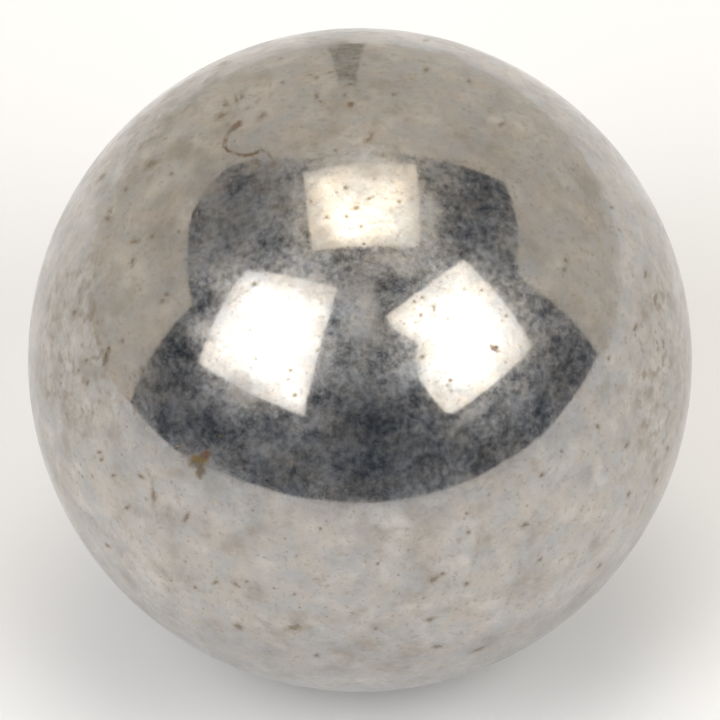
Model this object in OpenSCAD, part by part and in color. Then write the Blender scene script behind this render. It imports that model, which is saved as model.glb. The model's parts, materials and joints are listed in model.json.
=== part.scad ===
// Solid steel ball, ground round and polished, of one piece.

/* [Ball] */
// Diameter of the ball
ball_d = 25.4; // [3:0.1:60]

/* [Hidden] */
$fn = 128;

// The ball is centred on the origin, so every diameter runs through it.
module ball() {
    color("silver")
        sphere(d = ball_d);
}

ball();
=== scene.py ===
# %% [markdown]
# # A worn steel ball
#
# The object is one solid ball of polished steel that has been used and stored for a long time. Its form is
# as simple as a form can be, so everything that makes it look real is in its skin: a mirror finish gone
# hazy, clouds of stain, brown pits of many sizes and a few spots and smears of rust.
#
# The ball is modelled in real metres, in the frame of the packed part, with its centre at the origin.

# %% Load the frame
import json
import math
import random
from collections import namedtuple

import bpy
import numpy as np
from mathutils import Matrix, Vector


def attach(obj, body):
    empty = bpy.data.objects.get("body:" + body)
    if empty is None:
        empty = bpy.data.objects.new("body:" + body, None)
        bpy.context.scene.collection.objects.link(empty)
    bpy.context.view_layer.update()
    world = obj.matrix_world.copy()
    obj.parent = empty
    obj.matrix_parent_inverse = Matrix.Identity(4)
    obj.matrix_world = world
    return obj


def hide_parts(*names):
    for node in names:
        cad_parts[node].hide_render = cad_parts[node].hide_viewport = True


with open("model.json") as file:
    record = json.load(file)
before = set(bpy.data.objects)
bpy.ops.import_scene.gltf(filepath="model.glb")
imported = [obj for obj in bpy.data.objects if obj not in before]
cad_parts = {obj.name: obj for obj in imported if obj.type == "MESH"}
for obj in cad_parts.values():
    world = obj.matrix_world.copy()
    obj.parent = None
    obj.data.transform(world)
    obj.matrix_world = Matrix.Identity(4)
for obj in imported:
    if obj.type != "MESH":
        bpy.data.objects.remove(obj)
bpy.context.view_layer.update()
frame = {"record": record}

MM = 0.001
ball_seat = frame["record"]["mounts"][0]
BALL_R = ball_seat["dims"]["r_mm"] * MM
print("ball radius in mm:", BALL_R / MM)

# %% [markdown]
# ## The camera
#
# A ball looks round from everywhere, so its outline says nothing about where the camera stood. Its mirror
# image does: the side walls of the set stand upright in it only if the camera looks down at 46 degrees and
# is rolled a little to one side. A long lens from far away keeps the outline round. The camera comes first
# because the marks on the skin are placed through it.

# %% Place the camera
VIEW_DOWN = math.radians(46)
VIEW_ROLL = math.radians(-3.75)
CAMERA_AWAY = 30 * BALL_R
FARTHEST_SEEN = 10 * CAMERA_AWAY
SENSOR = 36.0

# The ball's outline in the 720 x 720 picture, in pixels
PICTURE = 720
OUTLINE_CENTRE = (359.5, 360.5)
OUTLINE_R = 332.0

to_camera = Vector((0, -math.cos(VIEW_DOWN), math.sin(VIEW_DOWN)))
level_right = Vector((1, 0, 0))
level_up = to_camera.cross(level_right)
picture_right = math.cos(VIEW_ROLL) * level_right + math.sin(VIEW_ROLL) * level_up
picture_up = to_camera.cross(picture_right)
eye = to_camera * CAMERA_AWAY

# The slope of the ray that just grazes the ball, which is the outline in the picture
graze = BALL_R / math.sqrt(CAMERA_AWAY**2 - BALL_R**2)

lens_data = bpy.data.cameras.new("camera")
lens_data.sensor_width = SENSOR
lens_data.lens = SENSOR / PICTURE * OUTLINE_R / graze
lens_data.clip_start = BALL_R
lens_data.clip_end = FARTHEST_SEEN
camera = bpy.data.objects.new("camera", lens_data)
camera.matrix_world = Matrix((picture_right, picture_up, to_camera)).transposed().to_4x4()
camera.location = eye
bpy.context.scene.collection.objects.link(camera)
bpy.context.scene.camera = camera
print("lens in mm:", round(lens_data.lens, 1), "distance in mm:", round(CAMERA_AWAY / MM, 1))

# %% [markdown]
# ## From a pixel to the skin
#
# The larger marks are read off the picture. A ray from the camera through a pixel meets the ball at
# one point, and that point is where the mark sits. A mark is an oval with two half axes that lie along the
# skin, so a mark near the edge of the picture comes out as long as it really is, not as it is foreshortened.

# %% Helpers that turn a pixel into a place on the ball
Mark = namedtuple("Mark", "centre along across depth")


def ray_through(x, y):
    """The direction of the ray from the camera through a pixel."""
    across = (x - OUTLINE_CENTRE[0]) / OUTLINE_R * graze
    upwards = (OUTLINE_CENTRE[1] - y) / OUTLINE_R * graze
    return (across * picture_right + upwards * picture_up - to_camera).normalized()


def on_ball(x, y):
    """The point on the ball that shows at a pixel; just outside the ball, the nearest point on it."""
    ray = ray_through(x, y)
    half_way = -eye.dot(ray)
    inside = half_way**2 - (CAMERA_AWAY**2 - BALL_R**2)
    return eye + (half_way - math.sqrt(max(0.0, inside))) * ray


def mark_from_picture(x, y, long_px, wide_px, turn_deg, depth=0.0):
    """An oval mark seen at a pixel, turned anticlockwise from level."""
    turn = math.radians(turn_deg)
    step = Vector((math.cos(turn), -math.sin(turn))) / 2
    side = Vector((-step.y, step.x))
    ends = [on_ball(x + s * long_px * step.x, y + s * long_px * step.y) for s in (-1, 1)]
    sides = [on_ball(x + s * wide_px * side.x, y + s * wide_px * side.y) for s in (-1, 1)]
    return Mark(on_ball(x, y), (ends[1] - ends[0]) / 2, (sides[1] - sides[0]) / 2, depth)


PIXEL = BALL_R / OUTLINE_R
print("one pixel in mm:", round(PIXEL / MM, 4))

# %% [markdown]
# ## The pits that can be named
#
# These are the pits that stand out in the picture, each as its place, its length and width in pixels and the
# angle of its length. Rust pits on a ball are shallow: about a seventieth as deep as they are wide. They
# could be painted on, but a pit that is sunk into the mesh is there for every tool that reads the mesh.

# %% List the pits in the picture
PIT_SLOPE = 0.014
DEEPEST_PIT = 0.006 * MM

# Each row is x, y, length, width and turn
PITS_IN_PICTURE = {
    "upper left": [
        (151, 164, 19, 9, 32), (171, 174, 6, 5, 0), (125, 190, 7, 6, 0), (101, 178, 17, 6, 50),
        (107, 219, 9, 6, 20), (151, 237, 9, 6, 30), (134, 242, 11, 6, 20), (132, 262, 12, 6, 80),
        (166, 295, 8, 6, 0), (162, 301, 7, 5, 40), (222, 64, 20, 5, 25), (178, 232, 5, 4, 0),
        (254, 284, 9, 6, 20), (221, 116, 15, 7, 30), (225, 105, 9, 7, 60), (236, 100, 10, 6, 100),
        (241, 97, 10, 7, 80), (262, 116, 10, 8, 45), (256, 164, 9, 8, 0), (273, 165, 12, 8, 30),
    ],
    "top": [
        (316, 78, 6, 5, 0), (316, 97, 10, 5, 100), (320, 102, 7, 4, 150), (344, 96, 7, 5, 60),
        (350, 105, 8, 6, 20), (371, 136, 6, 5, 40), (368, 140, 10, 5, 30), (426, 70, 8, 6, 10),
        (468, 82, 6, 5, 0), (335, 151, 5, 4, 0), (501, 125, 9, 5, 20), (425, 41, 9, 4, 0),
        (393, 95, 5, 4, 0), (282, 83, 6, 4, 10),
    ],
    "right": [
        (565, 261, 6, 5, 0), (564, 270, 8, 5, 70), (645, 275, 13, 5, 85), (655, 299, 19, 6, 80),
        (635, 328, 15, 5, 70), (608, 359, 7, 4, 80), (611, 208, 6, 4, 0), (626, 446, 10, 4, 60),
        (561, 452, 5, 4, 0), (541, 476, 9, 6, 30), (628, 495, 9, 5, 70), (667, 449, 9, 4, 80),
        (597, 427, 9, 5, 120), (656, 481, 8, 4, 60),
    ],
    "left": [
        (106, 357, 20, 6, 75), (122, 342, 10, 4, 80), (86, 361, 7, 5, 60), (87, 383, 8, 5, 70),
        (99, 453, 6, 5, 0), (101, 460, 6, 5, 40), (113, 476, 6, 5, 0), (127, 508, 8, 5, 30),
        (107, 546, 9, 5, 140), (74, 313, 9, 5, 60), (153, 496, 24, 6, 95), (186, 518, 15, 6, 60),
    ],
    "bottom": [
        (294, 628, 19, 9, 8), (238, 627, 13, 7, 150), (215, 583, 8, 5, 20), (252, 511, 5, 5, 0),
        (377, 564, 5, 4, 0), (433, 580, 14, 8, 20), (442, 574, 7, 5, 30), (429, 620, 12, 5, 10),
        (437, 647, 16, 5, 5), (316, 656, 7, 5, 0), (195, 588, 6, 4, 0), (375, 629, 6, 4, 0),
        (294, 595, 4, 4, 0), (320, 529, 4, 4, 0), (525, 525, 12, 7, 15), (466, 514, 5, 4, 0),
        (468, 533, 5, 5, 0), (466, 584, 8, 5, 20), (599, 566, 13, 5, 55), (478, 650, 20, 5, 20),
    ],
    "over the lamps": [
        (345, 188, 6, 5, 0), (356, 208, 9, 7, 20), (369, 199, 7, 5, 30), (346, 217, 6, 5, 0),
        (326, 218, 6, 5, 0), (361, 227, 7, 4, 0), (399, 202, 5, 4, 0), (255, 359, 9, 4, 120),
        (290, 371, 8, 6, 0), (288, 380, 6, 5, 0), (294, 396, 6, 5, 20), (422, 298, 6, 4, 0),
        (491, 347, 7, 5, 0), (497, 352, 6, 5, 30), (450, 381, 6, 5, 0), (481, 291, 6, 4, 0),
        (506, 316, 5, 4, 0),
    ],
}


def pit_from_picture(row):
    """A pit whose depth follows its width."""
    x, y, long_px, wide_px, turn = row
    depth = min(DEEPEST_PIT, PIT_SLOPE * wide_px * PIXEL)
    return mark_from_picture(x, y, long_px, wide_px, turn, depth)


named_pits = [pit_from_picture(row) for rows in PITS_IN_PICTURE.values() for row in rows]
print("named pits:", len(named_pits))

# %% [markdown]
# ## Stains and haze that can be named
#
# Rust also lies flat on the skin: amber and red spots stand out. Wide stains lie near the left and right
# edges and at the upper left, and a few streaks and patches have been rubbed clean. Between and round the
# lamps the haze is at its thickest. All of these change only the finish, so they have no depth. They could be
# painted by hand, but plain ovals are enough, because noise breaks their outlines up later.

# %% List the flat marks in the picture
AMBER_IN_PICTURE = [(198, 461, 40, 30, 20), (200, 471, 18, 28, 0)]
RED_IN_PICTURE = [
    (237, 125, 21, 11, 28), (205, 455, 19, 17, 0), (494, 349, 14, 10, 15), (291, 464, 11, 6, 75),
    (350, 105, 10, 8, 0),
]
STAINS_IN_PICTURE = [(66, 350, 260, 80, 90), (670, 375, 340, 86, 90), (160, 108, 240, 64, 42)]
HAZE_IN_PICTURE = [
    (240, 215, 150, 105, 30), (362, 320, 55, 140, 0), (270, 168, 120, 34, 10), (395, 267, 120, 42, 8),
    (294, 207, 34, 96, 5), (430, 222, 30, 80, -5), (198, 331, 44, 36, 55), (404, 378, 40, 76, -30),
    (312, 420, 72, 36, 10), (474, 413, 74, 26, 38), (365, 158, 130, 24, 3),
]
RUBBED_IN_PICTURE = [
    (627, 264, 66, 18, 95), (88, 272, 84, 18, 86), (138, 578, 200, 90, -50), (556, 96, 120, 44, -40),
]

amber_spots = [mark_from_picture(*row) for row in AMBER_IN_PICTURE]
red_spots = [mark_from_picture(*row) for row in RED_IN_PICTURE]
wide_stains = [mark_from_picture(*row) for row in STAINS_IN_PICTURE]
hazy_places = [mark_from_picture(*row) for row in HAZE_IN_PICTURE]
rubbed_places = [mark_from_picture(*row) for row in RUBBED_IN_PICTURE]
print("rust spots:", len(amber_spots + red_spots), "stains:", len(wide_stains))
print("hazy places:", len(hazy_places), "rubbed places:", len(rubbed_places))

# %% [markdown]
# ## Smears
#
# A thin brown smear curls over the upper left, and a short one lies at the left. A smear is a stroke, so it
# is given by a few places along it and a width. It could be a curve with a thickness, but that would stand
# proud of the skin. Round marks set close together along the stroke keep it flat.

# %% Lay the smears
# Each row is a width and the places along the stroke
SMEARS_IN_PICTURE = [
    (8.5, [(236, 126), (229, 132), (225, 139), (224, 146)]),
    (5.5, [(224, 146), (227, 151), (233, 154), (243, 156), (252, 155)]),
    (5.5, [(254, 154), (261, 151), (267, 153), (272, 160)]),
    (7.0, [(108, 349), (104, 365)]),
]
STROKE_STEP = 0.25


def stroke(width, places):
    """Round marks set close together along a stroke."""
    made = []
    for (x0, y0), (x1, y1) in zip(places, places[1:]):
        steps = math.ceil(math.hypot(x1 - x0, y1 - y0) / (STROKE_STEP * width))
        for i in range(steps + 1):
            x, y = x0 + (x1 - x0) * i / steps, y0 + (y1 - y0) * i / steps
            made.append(mark_from_picture(x, y, width, width, 0))
    return made


smears = [mark for width, places in SMEARS_IN_PICTURE for mark in stroke(width, places)]
print("smears:", len(SMEARS_IN_PICTURE), "made of marks:", len(smears))

# %% [markdown]
# ## The pits that are too many to name
#
# The same wear runs all round the ball, also where the camera doesn't reach. Pits come in families, because
# rust starts where damp has stood, so a seeded draw first places the families and then the pits in each.
# Small pits are common and large ones rare, which a power of an even draw gives.

# %% Scatter small pits all round
SEED = 25
LONE_PITS = 60
PIT_FAMILIES = 60
FEWEST_IN_FAMILY, MOST_IN_FAMILY = 2, 6
FAMILY_SPREAD = 0.16
SMALLEST_PIT = 0.09 * MM
PIT_GROWTH = 0.17 * MM
GROWTH_POWER = 3
ROUNDEST, LONGEST = 1.0, 2.0

draw = random.Random(SEED)


def any_direction():
    """A direction drawn evenly over the whole ball."""
    height = draw.uniform(-1, 1)
    turn = draw.uniform(0, math.tau)
    flat = math.sqrt(1 - height * height)
    return Vector((flat * math.cos(turn), flat * math.sin(turn), height))


def scattered_pit(direction):
    """A small oval pit at a direction from the ball's centre."""
    wide = SMALLEST_PIT + PIT_GROWTH * draw.random() ** GROWTH_POWER
    long = wide * draw.uniform(ROUNDEST, LONGEST)
    along = any_direction().cross(direction).normalized()
    across = direction.cross(along)
    depth = min(DEEPEST_PIT, PIT_SLOPE * wide)
    return Mark(direction * BALL_R, along * long / 2, across * wide / 2, depth)


scattered_pits = [scattered_pit(any_direction()) for _ in range(LONE_PITS)]
for _ in range(PIT_FAMILIES):
    middle = any_direction()
    for _ in range(draw.randint(FEWEST_IN_FAMILY, MOST_IN_FAMILY)):
        nearby = (middle + FAMILY_SPREAD * draw.random() * any_direction()).normalized()
        scattered_pits.append(scattered_pit(nearby))
print("scattered pits:", len(scattered_pits))

# %% [markdown]
# ## The ball
#
# A UV sphere bunches its faces at two poles, and a mirror shows that. An ico sphere has even triangles all
# over, so it is the better start. It needs fine faces only where there is a mark, so the faces at the marks
# are selected by their place and subdivided. First come helpers that say how a point lies in a mark.

# %% Helpers for points and marks
MARK_REACH = 1.35
FACE_MARGIN = 1.2


def place_in_mark(points, mark):
    """Where points lie along and across a mark, as shares of its half axes."""
    centre = np.array(mark.centre)
    normal = centre / np.linalg.norm(centre)
    along, across = np.array(mark.along), np.array(mark.across)
    by_along = np.cross(across, normal)
    by_across = np.cross(normal, along)
    offset = points - centre
    return offset @ by_along / (along @ by_along), offset @ by_across / (across @ by_across)


def points_near(points, mark, reach):
    """The numbers of the points that are no farther from a mark than it reaches."""
    size = max(mark.along.length, mark.across.length) * reach
    return np.flatnonzero(np.linalg.norm(points - np.array(mark.centre), axis=1) < size)


def faces_at(mesh, marks):
    """Says of each face whether it lies at a mark, with a margin of about one face."""
    middles = np.empty(len(mesh.polygons) * 3)
    mesh.polygons.foreach_get("center", middles)
    middles = middles.reshape(-1, 3)
    margin = FACE_MARGIN * math.sqrt(sum(face.area for face in mesh.polygons) / len(middles))
    chosen = np.zeros(len(middles), bool)
    for mark in marks:
        longer = 1 + margin / mark.along.length
        wider = 1 + margin / mark.across.length
        near = points_near(middles, mark, MARK_REACH * max(longer, wider))
        along, across = place_in_mark(middles[near], mark)
        chosen[near[np.hypot(along / longer, across / wider) < MARK_REACH]] = True
    return chosen


print("a mark reaches, in half axes:", MARK_REACH)

# %% [markdown]
# The ico sphere is refined twice: with more cuts at the marks from the picture, which are looked at closely,
# and with fewer at the scattered pits. As fine all over, it would have more than a million faces.

# %% Add the ball and refine it at the marks
EVEN_STEPS = 7
CUTS_AT_NAMED = 3
CUTS_AT_SCATTERED = 2

bpy.ops.object.select_all(action="DESELECT")
bpy.ops.mesh.primitive_ico_sphere_add(subdivisions=EVEN_STEPS, radius=BALL_R, location=(0, 0, 0))
ball = bpy.context.object
ball.name = "pitted_ball"
ball.data.name = "pitted_ball"


def refine_at(marks, cuts):
    """Subdivides the faces at some marks, with the rest left as they are."""
    bpy.ops.object.mode_set(mode="EDIT")
    bpy.ops.mesh.select_mode(type="FACE")
    bpy.ops.mesh.select_all(action="DESELECT")
    bpy.ops.object.mode_set(mode="OBJECT")
    chosen = faces_at(ball.data, marks)
    ball.data.polygons.foreach_set("select", chosen)
    bpy.ops.object.mode_set(mode="EDIT")
    bpy.ops.mesh.subdivide(number_cuts=cuts, ngon=False)
    bpy.ops.object.mode_set(mode="OBJECT")
    print("faces refined:", int(chosen.sum()), "faces now:", len(ball.data.polygons))


refine_at(named_pits + amber_spots + red_spots + smears, CUTS_AT_NAMED)
refine_at(scattered_pits, CUTS_AT_SCATTERED)

# %% [markdown]
# New points land on flat faces, a hair below the true skin. Each could be moved by its own sum, but a Cast
# modifier lifts them all onto the sphere at once.

# %% Lift the new points onto the sphere
cast = ball.modifiers.new("onto_sphere", "CAST")
cast.cast_type = "SPHERE"
cast.factor = 1.0
cast.use_radius_as_size = False
cast.size = BALL_R
bpy.ops.object.modifier_apply(modifier=cast.name)
radii = [point.co.length / BALL_R for point in ball.data.vertices]
print("points off the sphere, as a share:", min(radii) - 1, max(radii) - 1)

# %% [markdown]
# ## Sink the pits
#
# A pit has a ragged outline, sloping walls and a floor that isn't flat. Each mark gives every point a share
# from 0 at its outline to 1 in its middle, with a slow wobble round the outline. The shares of each kind of
# mark are kept as an attribute of the mesh, so that the finish knows where they are.

# %% Work out the shares
WALL_SHARE = 0.85
WOBBLE_3, WOBBLE_5 = 0.10, 0.08
HALO_SIZE = 2.2


def smooth_step(x):
    """A soft step from 0 to 1."""
    x = np.clip(x, 0, 1)
    return x * x * (3 - 2 * x)


def shares(points, marks):
    """The largest share and the largest depth that any mark gives each point."""
    share = np.zeros(len(points))
    depth = np.zeros(len(points))
    for mark in marks:
        near = points_near(points, mark, MARK_REACH)
        along, across = place_in_mark(points[near], mark)
        angle = np.arctan2(across, along)
        lean, twist = draw.uniform(0, math.tau), draw.uniform(0, math.tau)
        wobble = 1 + WOBBLE_3 * np.sin(3 * angle + lean) + WOBBLE_5 * np.sin(5 * angle + twist)
        own = smooth_step((1 - np.hypot(along, across) * wobble) / WALL_SHARE)
        share[near] = np.maximum(share[near], own)
        depth[near] = np.maximum(depth[near], own * mark.depth)
    return share, depth


def halo_of(mark):
    """The wider, flat mark round a pit, where its rust has crept out."""
    return Mark(mark.centre, mark.along * HALO_SIZE, mark.across * HALO_SIZE, 0.0)


points = np.empty(len(ball.data.vertices) * 3)
ball.data.vertices.foreach_get("co", points)
points = points.reshape(-1, 3)

all_pits = named_pits + scattered_pits
skin_marks = {
    "pit": all_pits,
    "halo": [halo_of(mark) for mark in all_pits],
    "smear": smears,
    "amber": amber_spots,
    "red": red_spots,
    "wide_stain": wide_stains,
    "thick_haze": hazy_places,
    "rubbed": rubbed_places,
}
sink = np.zeros(len(points))
for name, marks in skin_marks.items():
    share, depth = shares(points, marks)
    sink = np.maximum(sink, depth)
    attribute = ball.data.attributes.new(name, "FLOAT", "POINT")
    attribute.data.foreach_set("value", share.astype(np.float32))
    print(name, "covers points:", int((share > 0).sum()))

# %% [markdown]
# The depths become the weights of a vertex group, and a Displace modifier pushes those points in along their
# normals. Sculpting would do as well, but a modifier gives the same depths every time.

# %% Press the pits in
sunk = ball.vertex_groups.new(name="sunk")
for i in np.flatnonzero(sink > 0):
    sunk.add([int(i)], sink[i] / DEEPEST_PIT, "REPLACE")
press_in = ball.modifiers.new("press_in", "DISPLACE")
press_in.direction = "NORMAL"
press_in.vertex_group = sunk.name
press_in.mid_level = 0.0
press_in.strength = -DEEPEST_PIT
bpy.ops.object.modifier_apply(modifier=press_in.name)
bpy.ops.object.shade_smooth()
print("points sunk:", int((sink > 0).sum()), "deepest in mm:", round(sink.max() / MM, 4))
print("triangles:", sum(len(face.vertices) - 2 for face in ball.data.polygons))

# %% [markdown]
# ## Helpers for nodes
#
# The steel, the floor and the world are all made of nodes, which could be added and joined one by one. A
# small class does the same in fewer lines, so that the recipe of a finish can be read at a glance.

# %% A class that adds and joins nodes
class Nodes:
    """A node tree with short ways to add nodes and to join them."""

    def __init__(self, owner):
        owner.use_nodes = True
        self.tree = owner.node_tree

    def add(self, kind, **settings):
        """A node with its settings, and its inputs by name with underscores for spaces."""
        made = self.tree.nodes.new(kind)
        for key, value in settings.items():
            if hasattr(made, key):
                setattr(made, key, value)
            else:
                made.inputs[key.replace("_", " ")].default_value = value
        return made

    def join(self, value, socket):
        """Links an output to a socket, or sets the socket to a number or a colour."""
        if isinstance(value, bpy.types.NodeSocket):
            self.tree.links.new(value, socket)
        elif isinstance(value, tuple):
            socket.default_value = (*value, 1.0)
        else:
            socket.default_value = value

    def math(self, operation, first, second):
        """Two values put together by a Math node."""
        made = self.add("ShaderNodeMath", operation=operation)
        self.join(first, made.inputs[0])
        self.join(second, made.inputs[1])
        return made.outputs["Value"]

    def times(self, value, factor):
        """A value times a factor."""
        return self.math("MULTIPLY", value, factor)

    def total(self, first, *others):
        """All the values added up."""
        for other in others:
            first = self.math("ADD", first, other)
        return first

    def largest(self, first, *others):
        """The largest of the values."""
        for other in others:
            first = self.math("MAXIMUM", first, other)
        return first

    def share(self, value, low, high, start=0.0, end=1.0):
        """A value mapped from low..high to start..end, with soft ends."""
        made = self.add("ShaderNodeMapRange", interpolation_type="SMOOTHSTEP", From_Min=low, From_Max=high)
        made.inputs["To Min"].default_value = start
        made.inputs["To Max"].default_value = end
        self.join(value, made.inputs["Value"])
        return made.outputs["Result"]

    def blend(self, factor, first, second):
        """A colour that goes from first to second as the factor goes from 0 to 1."""
        # The colour sockets share their names with other sockets of the node, so they go by number
        made = self.add("ShaderNodeMix", data_type="RGBA")
        self.join(factor, made.inputs[0])
        self.join(first, made.inputs[6])
        self.join(second, made.inputs[7])
        return made.outputs[2]


print("ways to add and join:", [way for way in vars(Nodes) if not way.startswith("_")])

# %% [markdown]
# ## The worn mirror finish
#
# The finish is one metal whose roughness and colour change over the skin. The textures read Object
# coordinates, turned into millimetres, so a noise of 10 to the millimetre has features of about a tenth of a
# millimetre.

# %% Start the material
steel = bpy.data.materials.new("worn_polished_steel")
metal = Nodes(steel)
shader = metal.tree.nodes["Principled BSDF"]
place = metal.add("ShaderNodeTexCoord")
in_mm = metal.add("ShaderNodeMapping", Scale=(1 / MM, 1 / MM, 1 / MM))
metal.join(place.outputs["Object"], in_mm.inputs["Vector"])


def noise(per_mm, detail=2.0, rough=0.5):
    """Noise with so many features to the millimetre."""
    made = metal.add("ShaderNodeTexNoise", Scale=per_mm, Detail=detail, Roughness=rough)
    metal.join(in_mm.outputs["Vector"], made.inputs["Vector"])
    return made.outputs["Fac"]


def cloud(per_mm, detail, rough, starts, full, least=0.0, most=1.0):
    """Noise made into clouds: the least cover where it is below the start, the most where it is full."""
    return metal.share(noise(per_mm, detail, rough), starts, full, least, most)


def mark_share(name):
    """The share that the mesh carries for one kind of mark."""
    return metal.add("ShaderNodeAttribute", attribute_name=name).outputs["Fac"]


print("finish started:", steel.name)

# %% [markdown]
# ## Haze
#
# A used ball isn't a clean mirror. Countless tiny scratches and specks scatter the light, so dark things look
# grey in it and bright things have a glow. A dust of polish and haze, much finer than the eye can part, mixes
# a sharp mirror image with a blurred one. A coarser grain, slow patches and the named hazy places say how
# much of the dust is haze.

# %% Haze from fine to slow
DUST_PER_MM = 110.0
GRAIN_PER_MM = 3.8
PATCHES_PER_MM = 0.55
GRAIN_WEIGHT, PATCH_WEIGHT, PLACE_WEIGHT = 0.29, 0.45, 0.12
HAZE_STARTS, HAZE_FULL = 0.81, 0.96

dust = noise(DUST_PER_MM, detail=1.0)
grain = noise(GRAIN_PER_MM, detail=2.0, rough=0.55)
patches = noise(PATCHES_PER_MM, detail=3.0, rough=0.55)
thickness = metal.total(
    dust,
    metal.times(grain, GRAIN_WEIGHT),
    metal.times(patches, PATCH_WEIGHT),
    metal.times(mark_share("thick_haze"), PLACE_WEIGHT),
)
haze = metal.share(thickness, HAZE_STARTS, HAZE_FULL)
print("nodes so far:", len(metal.tree.nodes))

# %% [markdown]
# ## Specks
#
# Besides the modelled pits there are thousands of specks too small to model. A Voronoi texture gives each
# cell a centre and a random value. A speck shows where the skin passes close to a centre, if the cell's
# random value is high enough and a slow noise says that damp stood there.

# %% Specks of two sizes
FINE_DARKNESS, COARSE_DARKNESS = 0.16, 0.32
SPECK_CORE = 0.35
DAMP_STARTS, DAMP_FULL = 0.35, 0.70


def specks(per_mm, radius, chance, clumps_per_mm):
    """A mask of round specks; in the thickest clumps a cell has one with the given chance."""
    cells = metal.add("ShaderNodeTexVoronoi", Scale=per_mm)
    metal.join(in_mm.outputs["Vector"], cells.inputs["Vector"])
    parts = metal.add("ShaderNodeSeparateColor")
    metal.join(cells.outputs["Color"], parts.inputs["Color"])
    dot = metal.share(cells.outputs["Distance"], radius, radius * SPECK_CORE)
    clump = metal.share(noise(clumps_per_mm), DAMP_STARTS, DAMP_FULL, 0.0, chance)
    shown = metal.math("GREATER_THAN", metal.total(parts.outputs["Red"], clump), 1.0)
    return metal.times(dot, shown)


fine_specks = specks(per_mm=5.0, radius=0.30, chance=0.38, clumps_per_mm=0.5)
coarse_specks = specks(per_mm=2.2, radius=0.22, chance=0.30, clumps_per_mm=0.35)
speck = metal.largest(
    metal.times(fine_specks, FINE_DARKNESS),
    metal.times(coarse_specks, COARSE_DARKNESS),
)
print("nodes so far:", len(metal.tree.nodes))

# %% [markdown]
# ## Marks with broken edges
#
# A smooth oval would look printed on. A noise is added to a mark's share before it is cut off, which breaks
# its outline up. Then a slow noise thins the rust here and there, as it is thin on the real skin.

# %% Marks from the mesh, made ragged or thin
NOISE_MEAN = 0.5
CUT_STARTS, CUT_WIDTH, FUZZY_WIDTH = 0.12, 0.75, 0.95
THIN_STARTS, THIN_ENDS = 0.38, 0.60
PIT_DARKNESS = 0.65


def ragged(name, per_mm, weight, width=CUT_WIDTH):
    """A mark's share with its outline broken up by noise."""
    broken = metal.total(mark_share(name), metal.times(noise(per_mm, detail=3.0, rough=0.6), weight))
    starts = NOISE_MEAN * weight + CUT_STARTS
    return metal.share(broken, starts, starts + width)


def uneven(value, per_mm, least, most):
    """A share that is thinned here and there by slow noise, from the least to the most cover."""
    return metal.times(value, metal.share(noise(per_mm), THIN_STARTS, THIN_ENDS, least, most))


pit = ragged("pit", per_mm=10.0, weight=1.4)
halo = uneven(ragged("halo", per_mm=7.0, weight=0.5), per_mm=4.0, least=0.15, most=0.50)
smear = uneven(ragged("smear", per_mm=9.0, weight=1.0), per_mm=3.0, least=0.30, most=0.95)
amber = uneven(ragged("amber", per_mm=8.0, weight=0.7, width=FUZZY_WIDTH), per_mm=4.0, least=0.80, most=1.00)
red = uneven(ragged("red", per_mm=8.0, weight=0.8, width=FUZZY_WIDTH), per_mm=4.0, least=0.75, most=1.00)
dark = metal.largest(speck, metal.times(pit, PIT_DARKNESS), smear)
print("nodes so far:", len(metal.tree.nodes))

# %% [markdown]
# ## Colour
#
# Polished steel is a slightly warm grey. Clouds of a few tenths of a millimetre to a few millimetres make it
# warmer, paler or browner. Each cloud is a noise that is cut off softly, so that it has a middle and an edge.
# A painted picture would cover the side that shows, but noise runs all round the ball without a seam.

# %% Clouds
STAIN_FULL = 0.6

cool_cloud = cloud(per_mm=0.8, detail=4.0, rough=0.58, starts=0.36, full=0.64)
pale_cloud = cloud(per_mm=0.95, detail=4.0, rough=0.60, starts=0.47, full=0.70, most=0.95)
rubbed = uneven(mark_share("rubbed"), per_mm=1.5, least=0.30, most=0.90)
slow_stain = cloud(per_mm=0.62, detail=4.0, rough=0.60, starts=0.44, full=0.76, most=0.85)
quick_stain = cloud(per_mm=2.3, detail=4.0, rough=0.65, starts=0.51, full=0.72, most=0.55)
blots = cloud(per_mm=1.3, detail=4.0, rough=0.62, starts=0.36, full=0.70, least=0.10, most=0.90)
freckles = cloud(per_mm=2.2, detail=1.0, rough=0.50, starts=0.50, full=0.76, most=0.85)
smudges = cloud(per_mm=4.2, detail=3.0, rough=0.60, starts=0.57, full=0.71, most=0.50)
olive_haze = cloud(per_mm=1.5, detail=3.0, rough=0.55, starts=0.42, full=0.62)
rust_shade = cloud(per_mm=4.0, detail=2.0, rough=0.50, starts=0.40, full=0.60)

stained = metal.share(mark_share("wide_stain"), 0.0, STAIN_FULL)
pale = metal.largest(pale_cloud, rubbed)
stain = metal.largest(slow_stain, quick_stain, metal.times(stained, blots))
smudge = metal.largest(smudges, metal.times(stained, freckles), halo)
print("nodes so far:", len(metal.tree.nodes))

# %% [markdown]
# The colours go on in the order in which the real skin got them: bare steel, haze, stains, the brown round
# the pits, amber and red where rust lies flat, and dark brown in the pits. Hazy steel is bluish in some
# places and olive in others.

# %% Colours, from the bare steel up
WARM_STEEL = (0.490, 0.443, 0.396)
COOL_STEEL = (0.428, 0.421, 0.414)
PALE_STEEL = (0.590, 0.553, 0.511)
BLUISH_HAZE = (0.396, 0.410, 0.436)
OLIVE_HAZE = (0.436, 0.422, 0.396)
STAINED_STEEL = (0.320, 0.292, 0.259)
SMUDGED_STEEL = (0.285, 0.248, 0.198)
OLD_RUST = (0.085, 0.066, 0.028)
GOLDEN_RUST = (0.170, 0.112, 0.030)
RED_RUST = (0.140, 0.070, 0.042)
PIT_BROWN = (0.185, 0.140, 0.092)
HAZE_TINT = 0.6

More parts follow.
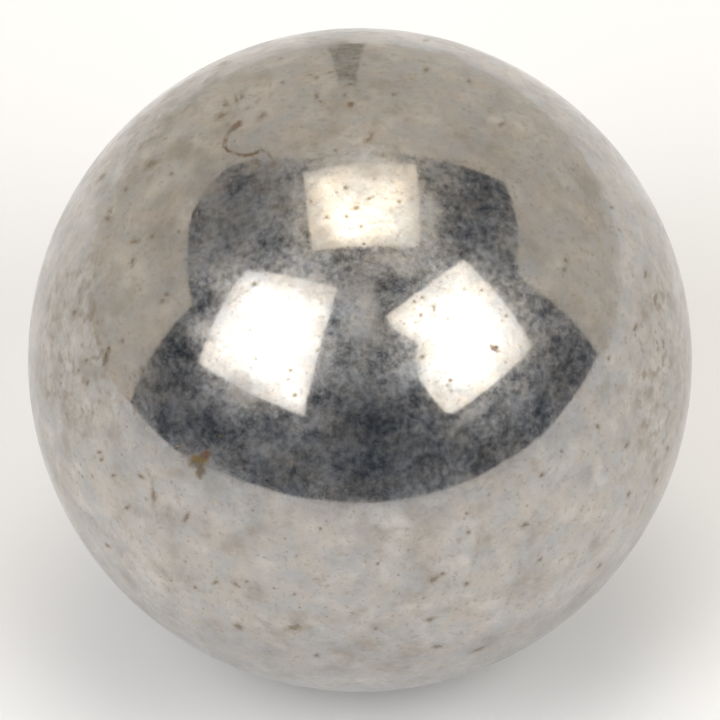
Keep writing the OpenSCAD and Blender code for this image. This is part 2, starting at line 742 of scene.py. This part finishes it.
hazy_steel = metal.blend(olive_haze, BLUISH_HAZE, OLIVE_HAZE)
amber_rust = metal.blend(rust_shade, OLD_RUST, GOLDEN_RUST)

colour = metal.blend(cool_cloud, WARM_STEEL, COOL_STEEL)
colour = metal.blend(pale, colour, PALE_STEEL)
colour = metal.blend(metal.times(haze, HAZE_TINT), colour, hazy_steel)
colour = metal.blend(stain, colour, STAINED_STEEL)
colour = metal.blend(smudge, colour, SMUDGED_STEEL)
colour = metal.blend(amber, colour, amber_rust)
colour = metal.blend(red, colour, RED_RUST)
colour = metal.blend(dark, colour, PIT_BROWN)
metal.join(colour, shader.inputs["Base Color"])
print("nodes so far:", len(metal.tree.nodes))

# %% [markdown]
# ## Roughness, metal and relief
#
# Haze roughens the mirror, and rust dulls it. Rust isn't a metal, so Metallic falls where it lies, and less
# so in the pits. The grain and the specks are about a thousandth of a millimetre deep at most, just enough to
# make a sharp image waver, so a Bump node does for them and the mesh stays light.

# %% Roughness, metal and relief
POLISHED, DULL = 0.06, 0.40
RUST_ROUGHENS, PITS_ROUGHEN = 0.20, 0.12
RUST_COVERS, PITS_COVER = 0.75, 0.35
RELIEF_DEPTH = 0.001 * MM
SPECKS_SINK, GRAIN_LIFTS = -3.0, 0.6

flat_rust = metal.largest(amber, red)
metal_rough = metal.share(haze, 0.0, 1.0, POLISHED, DULL)
rust_rough = metal.total(metal.times(flat_rust, RUST_ROUGHENS), metal.times(dark, PITS_ROUGHEN))
metal.join(metal.total(metal_rough, rust_rough), shader.inputs["Roughness"])
covered = metal.largest(metal.times(flat_rust, RUST_COVERS), metal.times(dark, PITS_COVER))
metal.join(metal.math("SUBTRACT", 1.0, covered), shader.inputs["Metallic"])

relief = metal.total(metal.times(speck, SPECKS_SINK), metal.times(grain, GRAIN_LIFTS))
bump = metal.add("ShaderNodeBump", Strength=1.0, Distance=RELIEF_DEPTH)
metal.join(relief, bump.inputs["Height"])
metal.join(bump.outputs["Normal"], shader.inputs["Normal"])

ball.data.materials.append(steel)
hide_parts("ball")
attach(ball, "root")
print("nodes in the finish:", len(metal.tree.nodes))

# %% [markdown]
# ## The set
#
# A mirror is lit by what stands round it. The set is a table-top one: a pale floor, a pale wall round the
# sides and the back, a dark room in front and above, and three soft lamps. Only the floor shows to the
# camera. The rest is seen in the ball alone, and the lamps and the wall light the floor.
#
# The set is read off the picture as well. The ray through a pixel is turned back by the ball like a light ray
# by a mirror, and what shows at that pixel lies somewhere along it.

# %% Helpers for the set
def glow(name, colour):
    """A plain material that shines evenly."""
    made = bpy.data.materials.new(name)
    nodes = Nodes(made)
    nodes.tree.nodes.clear()
    output = nodes.add("ShaderNodeOutputMaterial")
    light = nodes.add("ShaderNodeEmission", Color=(*colour, 1.0), Strength=1.0)
    nodes.join(light.outputs["Emission"], output.inputs["Surface"])
    return made


def only_mirrored(thing, lights_floor=False):
    """Keeps a piece of the set out of the picture; it shows in the ball, and may light the floor."""
    thing.visible_camera = False
    thing.visible_diffuse = lights_floor
    thing.visible_shadow = False


def seen_straight(nodes):
    """1 for rays from the camera or from a mirror or glass, and 0 for rays that carry soft light."""
    rays = nodes.add("ShaderNodeLightPath").outputs
    return nodes.largest(rays["Is Camera Ray"], rays["Is Glossy Ray"], rays["Is Transmission Ray"])


def mirrored(x, y, away):
    """The place, so far from the ball's centre, that the ball mirrors at a pixel."""
    ray = ray_through(x, y)
    start = on_ball(x, y)
    normal = start.normalized()
    turned = ray - 2 * ray.dot(normal) * normal
    half_way = -start.dot(turned)
    return start + (half_way + math.sqrt(half_way**2 + away**2 - BALL_R**2)) * turned


def band(name, lower, upper, material):
    """An upright band between two rows of places."""
    bpy.ops.mesh.primitive_grid_add(x_subdivisions=len(lower) - 1, y_subdivisions=1, location=(0, 0, 0))
    made = bpy.context.object
    made.name = name
    columns = sorted({round(point.co.x, 4) for point in made.data.vertices})
    for point in made.data.vertices:
        row = upper if point.co.y > 0 else lower
        point.co = row[columns.index(round(point.co.x, 4))]
    made.data.materials.append(material)
    print(name, "columns:", len(columns))
    return made


middle_of_mirror = mirrored(*OUTLINE_CENTRE, 1.0)
print("the middle of the ball mirrors the direction:", [round(v, 3) for v in middle_of_mirror])

# %% [markdown]
# The floor is pale paper. It keeps the ball's shadow, and far from the ball it fades into the white of the
# background. A sheet curved up at the back would hide its edge too, but a flat one that fades is simpler.

# %% The floor
FLOOR_SIDE = 5.0
FLOOR_COLOUR = (0.940, 0.952, 0.985)
FADE_STARTS = 60 * MM
FADE_ENDS = 200 * MM

bpy.ops.object.select_all(action="DESELECT")
bpy.ops.mesh.primitive_plane_add(size=FLOOR_SIDE, location=(0, 0, -BALL_R))
floor = bpy.context.object
floor.name = "floor"

pale_paper = bpy.data.materials.new("pale_paper")
paper = Nodes(pale_paper)
paper.tree.nodes.clear()
output = paper.add("ShaderNodeOutputMaterial")
matt = paper.add("ShaderNodeBsdfDiffuse", Color=(*FLOOR_COLOUR, 1.0))
white = paper.add("ShaderNodeEmission", Color=(1.0, 1.0, 1.0, 1.0), Strength=1.0)
from_ball = paper.add("ShaderNodeVectorMath", operation="LENGTH")
paper.join(paper.add("ShaderNodeTexCoord").outputs["Object"], from_ball.inputs[0])
fade = paper.share(from_ball.outputs["Value"], FADE_STARTS, FADE_ENDS)
mixed = paper.add("ShaderNodeMixShader")
paper.join(paper.times(fade, seen_straight(paper)), mixed.inputs[0])
paper.join(matt.outputs["BSDF"], mixed.inputs[1])
paper.join(white.outputs["Emission"], mixed.inputs[2])
paper.join(mixed.outputs["Shader"], output.inputs["Surface"])
floor.data.materials.append(pale_paper)
print("floor at z in mm:", -BALL_R / MM)

# %% [markdown]
# The dark zone in the ball is the room that the set stands in. The world could be dark instead, but from a
# low side the camera sees the world past the floor, and must see white there. So a half dome that only the
# ball sees stands for the room. In front, a low dark band follows the far edge of the paper.

# %% The dark room
ROOM_R = 0.6
ROOM_DARK = (0.040, 0.056, 0.084)
EDGE_AWAY = 0.24
BAND_HEIGHT = 60 * MM
PAPER_EDGE_IN_PICTURE = [
    (118, 388), (130, 403), (150, 427), (180, 454), (220, 473), (260, 487), (300, 498), (340, 502),
    (380, 503), (420, 498), (460, 485), (500, 464), (540, 437), (570, 401), (596, 358), (606, 340),
]

dark_room = glow("dark_room", ROOM_DARK)
bpy.ops.mesh.primitive_uv_sphere_add(segments=64, ring_count=32, radius=ROOM_R, location=(0, 0, -BALL_R))
room = bpy.context.object
room.name = "dark_room"
room.data.materials.append(dark_room)
bpy.ops.object.mode_set(mode="EDIT")
bpy.ops.mesh.select_all(action="SELECT")
bpy.ops.mesh.bisect(plane_co=(0, 0, -BALL_R), plane_no=(0, 0, 1), clear_inner=True)
bpy.ops.object.mode_set(mode="OBJECT")
only_mirrored(room)

paper_edge = [mirrored(x, y, EDGE_AWAY) for x, y in PAPER_EDGE_IN_PICTURE]
above_edge = [place + Vector((0, 0, BAND_HEIGHT)) for place in paper_edge]
only_mirrored(band("dark_band", paper_edge, above_edge, dark_room))

# %% [markdown]
# The wall stands on the paper round the sides and the back. Its top edge bounds the dark zone, so it is
# followed in the picture from the left corner, over the top, to the right corner. Its two front edges lean
# a little, so their feet are read off the picture too. Flat cards side by side could leave gaps, and one band
# has none.

# %% The pale wall round the sides and the back
WALL_AWAY = 0.29
WALL_GLOW = (0.81, 0.755, 0.67)
WALL_TOP_IN_PICTURE = [
    (192, 306), (188, 284), (187, 260), (188, 240), (190, 221), (197, 203), (210, 184), (228, 168),
    (250, 161), (275, 161), (305, 159), (340, 155), (380, 154), (415, 157), (445, 162), (475, 171),
    (503, 182), (511, 200), (516, 220), (518, 240), (516, 260), (521, 281),
]
WALL_FRONT_IN_PICTURE = [(131, 402), (598, 357)]

wall_top = [mirrored(x, y, WALL_AWAY) for x, y in WALL_TOP_IN_PICTURE]
wall_foot = [Vector((place.x, place.y, -BALL_R)) for place in wall_top]
wall_foot[0], wall_foot[-1] = [mirrored(x, y, EDGE_AWAY) for x, y in WALL_FRONT_IN_PICTURE]
only_mirrored(band("pale_wall", wall_foot, wall_top, glow("pale_wall", WALL_GLOW)), lights_floor=True)

# %% [markdown]
# ## The lamps
#
# The lamps are flat cards with their corners placed through the mirror. A soft lamp is brightest in its
# middle, so each card is a fan of triangles round a middle point, and an attribute says how near that point
# is. An area light would do for the floor, but in a mirror it shows as one flat, even shape.

# %% Helpers for the lamps
LAMP_RIM, LAMP_MIDDLE = 2.2, 6.4


def card(name, middle, corners, away, material):
    """A card with its middle and its corners where the ball mirrors the given pixels."""
    bpy.ops.mesh.primitive_circle_add(vertices=len(corners), fill_type="TRIFAN", location=(0, 0, 0))
    made = bpy.context.object
    made.name = name
    nearness = made.data.attributes.new("nearness", "FLOAT", "POINT")
    rim = iter(corners)
    for i, point in enumerate(made.data.vertices):
        in_middle = point.co.length < 0.5  # the fan starts with its middle at the origin and a rim of 1
        nearness.data[i].value = 1.0 if in_middle else 0.0
        point.co = mirrored(*(middle if in_middle else next(rim)), away)
    made.data.materials.append(material)
    print(name, "corners:", len(corners))
    return made


def soft_light(name, colour):
    """A material that shines most in the middle of its card."""
    made = glow(name, colour)
    nodes = Nodes(made)
    near = nodes.add("ShaderNodeAttribute", attribute_name="nearness").outputs["Fac"]
    strength = nodes.share(near, 0.0, 1.0, LAMP_RIM, LAMP_MIDDLE)
    nodes.join(strength, nodes.tree.nodes["Emission"].inputs["Strength"])
    return made


print("lamps shine from", LAMP_RIM, "at the rim to", LAMP_MIDDLE, "in the middle")

# %% [markdown]
# Two lamps stand in front and one hangs above. The right one is notched on one side. A dim grey card close
# behind the ball shows only in the mirror, as a darker strip in the image of the wall. The three whites
# differ a little, as the lamps do in the mirror.

# %% The three lamps and the strip
LAMP_AWAY = 0.40
STRIP_AWAY = 0.08
LEFT_WHITE, RIGHT_WHITE, TOP_WHITE = (1.0, 0.99, 0.97), (1.0, 0.98, 0.93), (0.78, 0.725, 0.63)
STRIP_GREY = (0.34, 0.32, 0.277)

LEFT_MIDDLE, RIGHT_MIDDLE, TOP_MIDDLE, STRIP_MIDDLE = (272, 333), (460, 335), (368, 224), (347, 65)
LEFT_IN_PICTURE = [(245, 270), (337, 289), (304, 417), (198, 363)]
RIGHT_IN_PICTURE = [
    (463, 260), (532, 347), (452, 414), (445, 413), (432, 398), (419, 380), (415, 362), (418, 344),
    (393, 330), (385, 317),
]
TOP_IN_PICTURE = [(303, 174), (415, 165), (419, 249), (312, 252)]
STRIP_IN_PICTURE = [(326, 46), (365, 44), (356, 86), (338, 86)]

lamps = [
    card("lamp_left", LEFT_MIDDLE, LEFT_IN_PICTURE, LAMP_AWAY, soft_light("lamp_left", LEFT_WHITE)),
    card("lamp_right", RIGHT_MIDDLE, RIGHT_IN_PICTURE, LAMP_AWAY, soft_light("lamp_right", RIGHT_WHITE)),
    card("lamp_top", TOP_MIDDLE, TOP_IN_PICTURE, LAMP_AWAY, soft_light("lamp_top", TOP_WHITE)),
]
for lamp in lamps:
    only_mirrored(lamp, lights_floor=True)
strip = card("grey_strip", STRIP_MIDDLE, STRIP_IN_PICTURE, STRIP_AWAY, glow("grey_strip", STRIP_GREY))
only_mirrored(strip)

# %% [markdown]
# The world is white where it is looked at, and gives the floor a little soft light besides. A picture of a
# sky would light it as well, but the set has a plain white background.

# %% The world
SOFT_LIGHT = 0.05

white_world = bpy.data.worlds.new("white")
bpy.context.scene.world = white_world
sky = Nodes(white_world)
sky.tree.nodes.clear()
output = sky.add("ShaderNodeOutputWorld")
background = sky.add("ShaderNodeBackground", Color=(1.0, 1.0, 1.0, 1.0))
sky.join(sky.share(seen_straight(sky), 0.0, 1.0, SOFT_LIGHT, 1.0), background.inputs["Strength"])
sky.join(background.outputs["Background"], output.inputs["Surface"])
bpy.context.scene.view_settings.view_transform = "Standard"
print("soft light:", SOFT_LIGHT)

# %% [markdown]
# ## The size
#
# The dressed ball must fill the same box as the packed part.
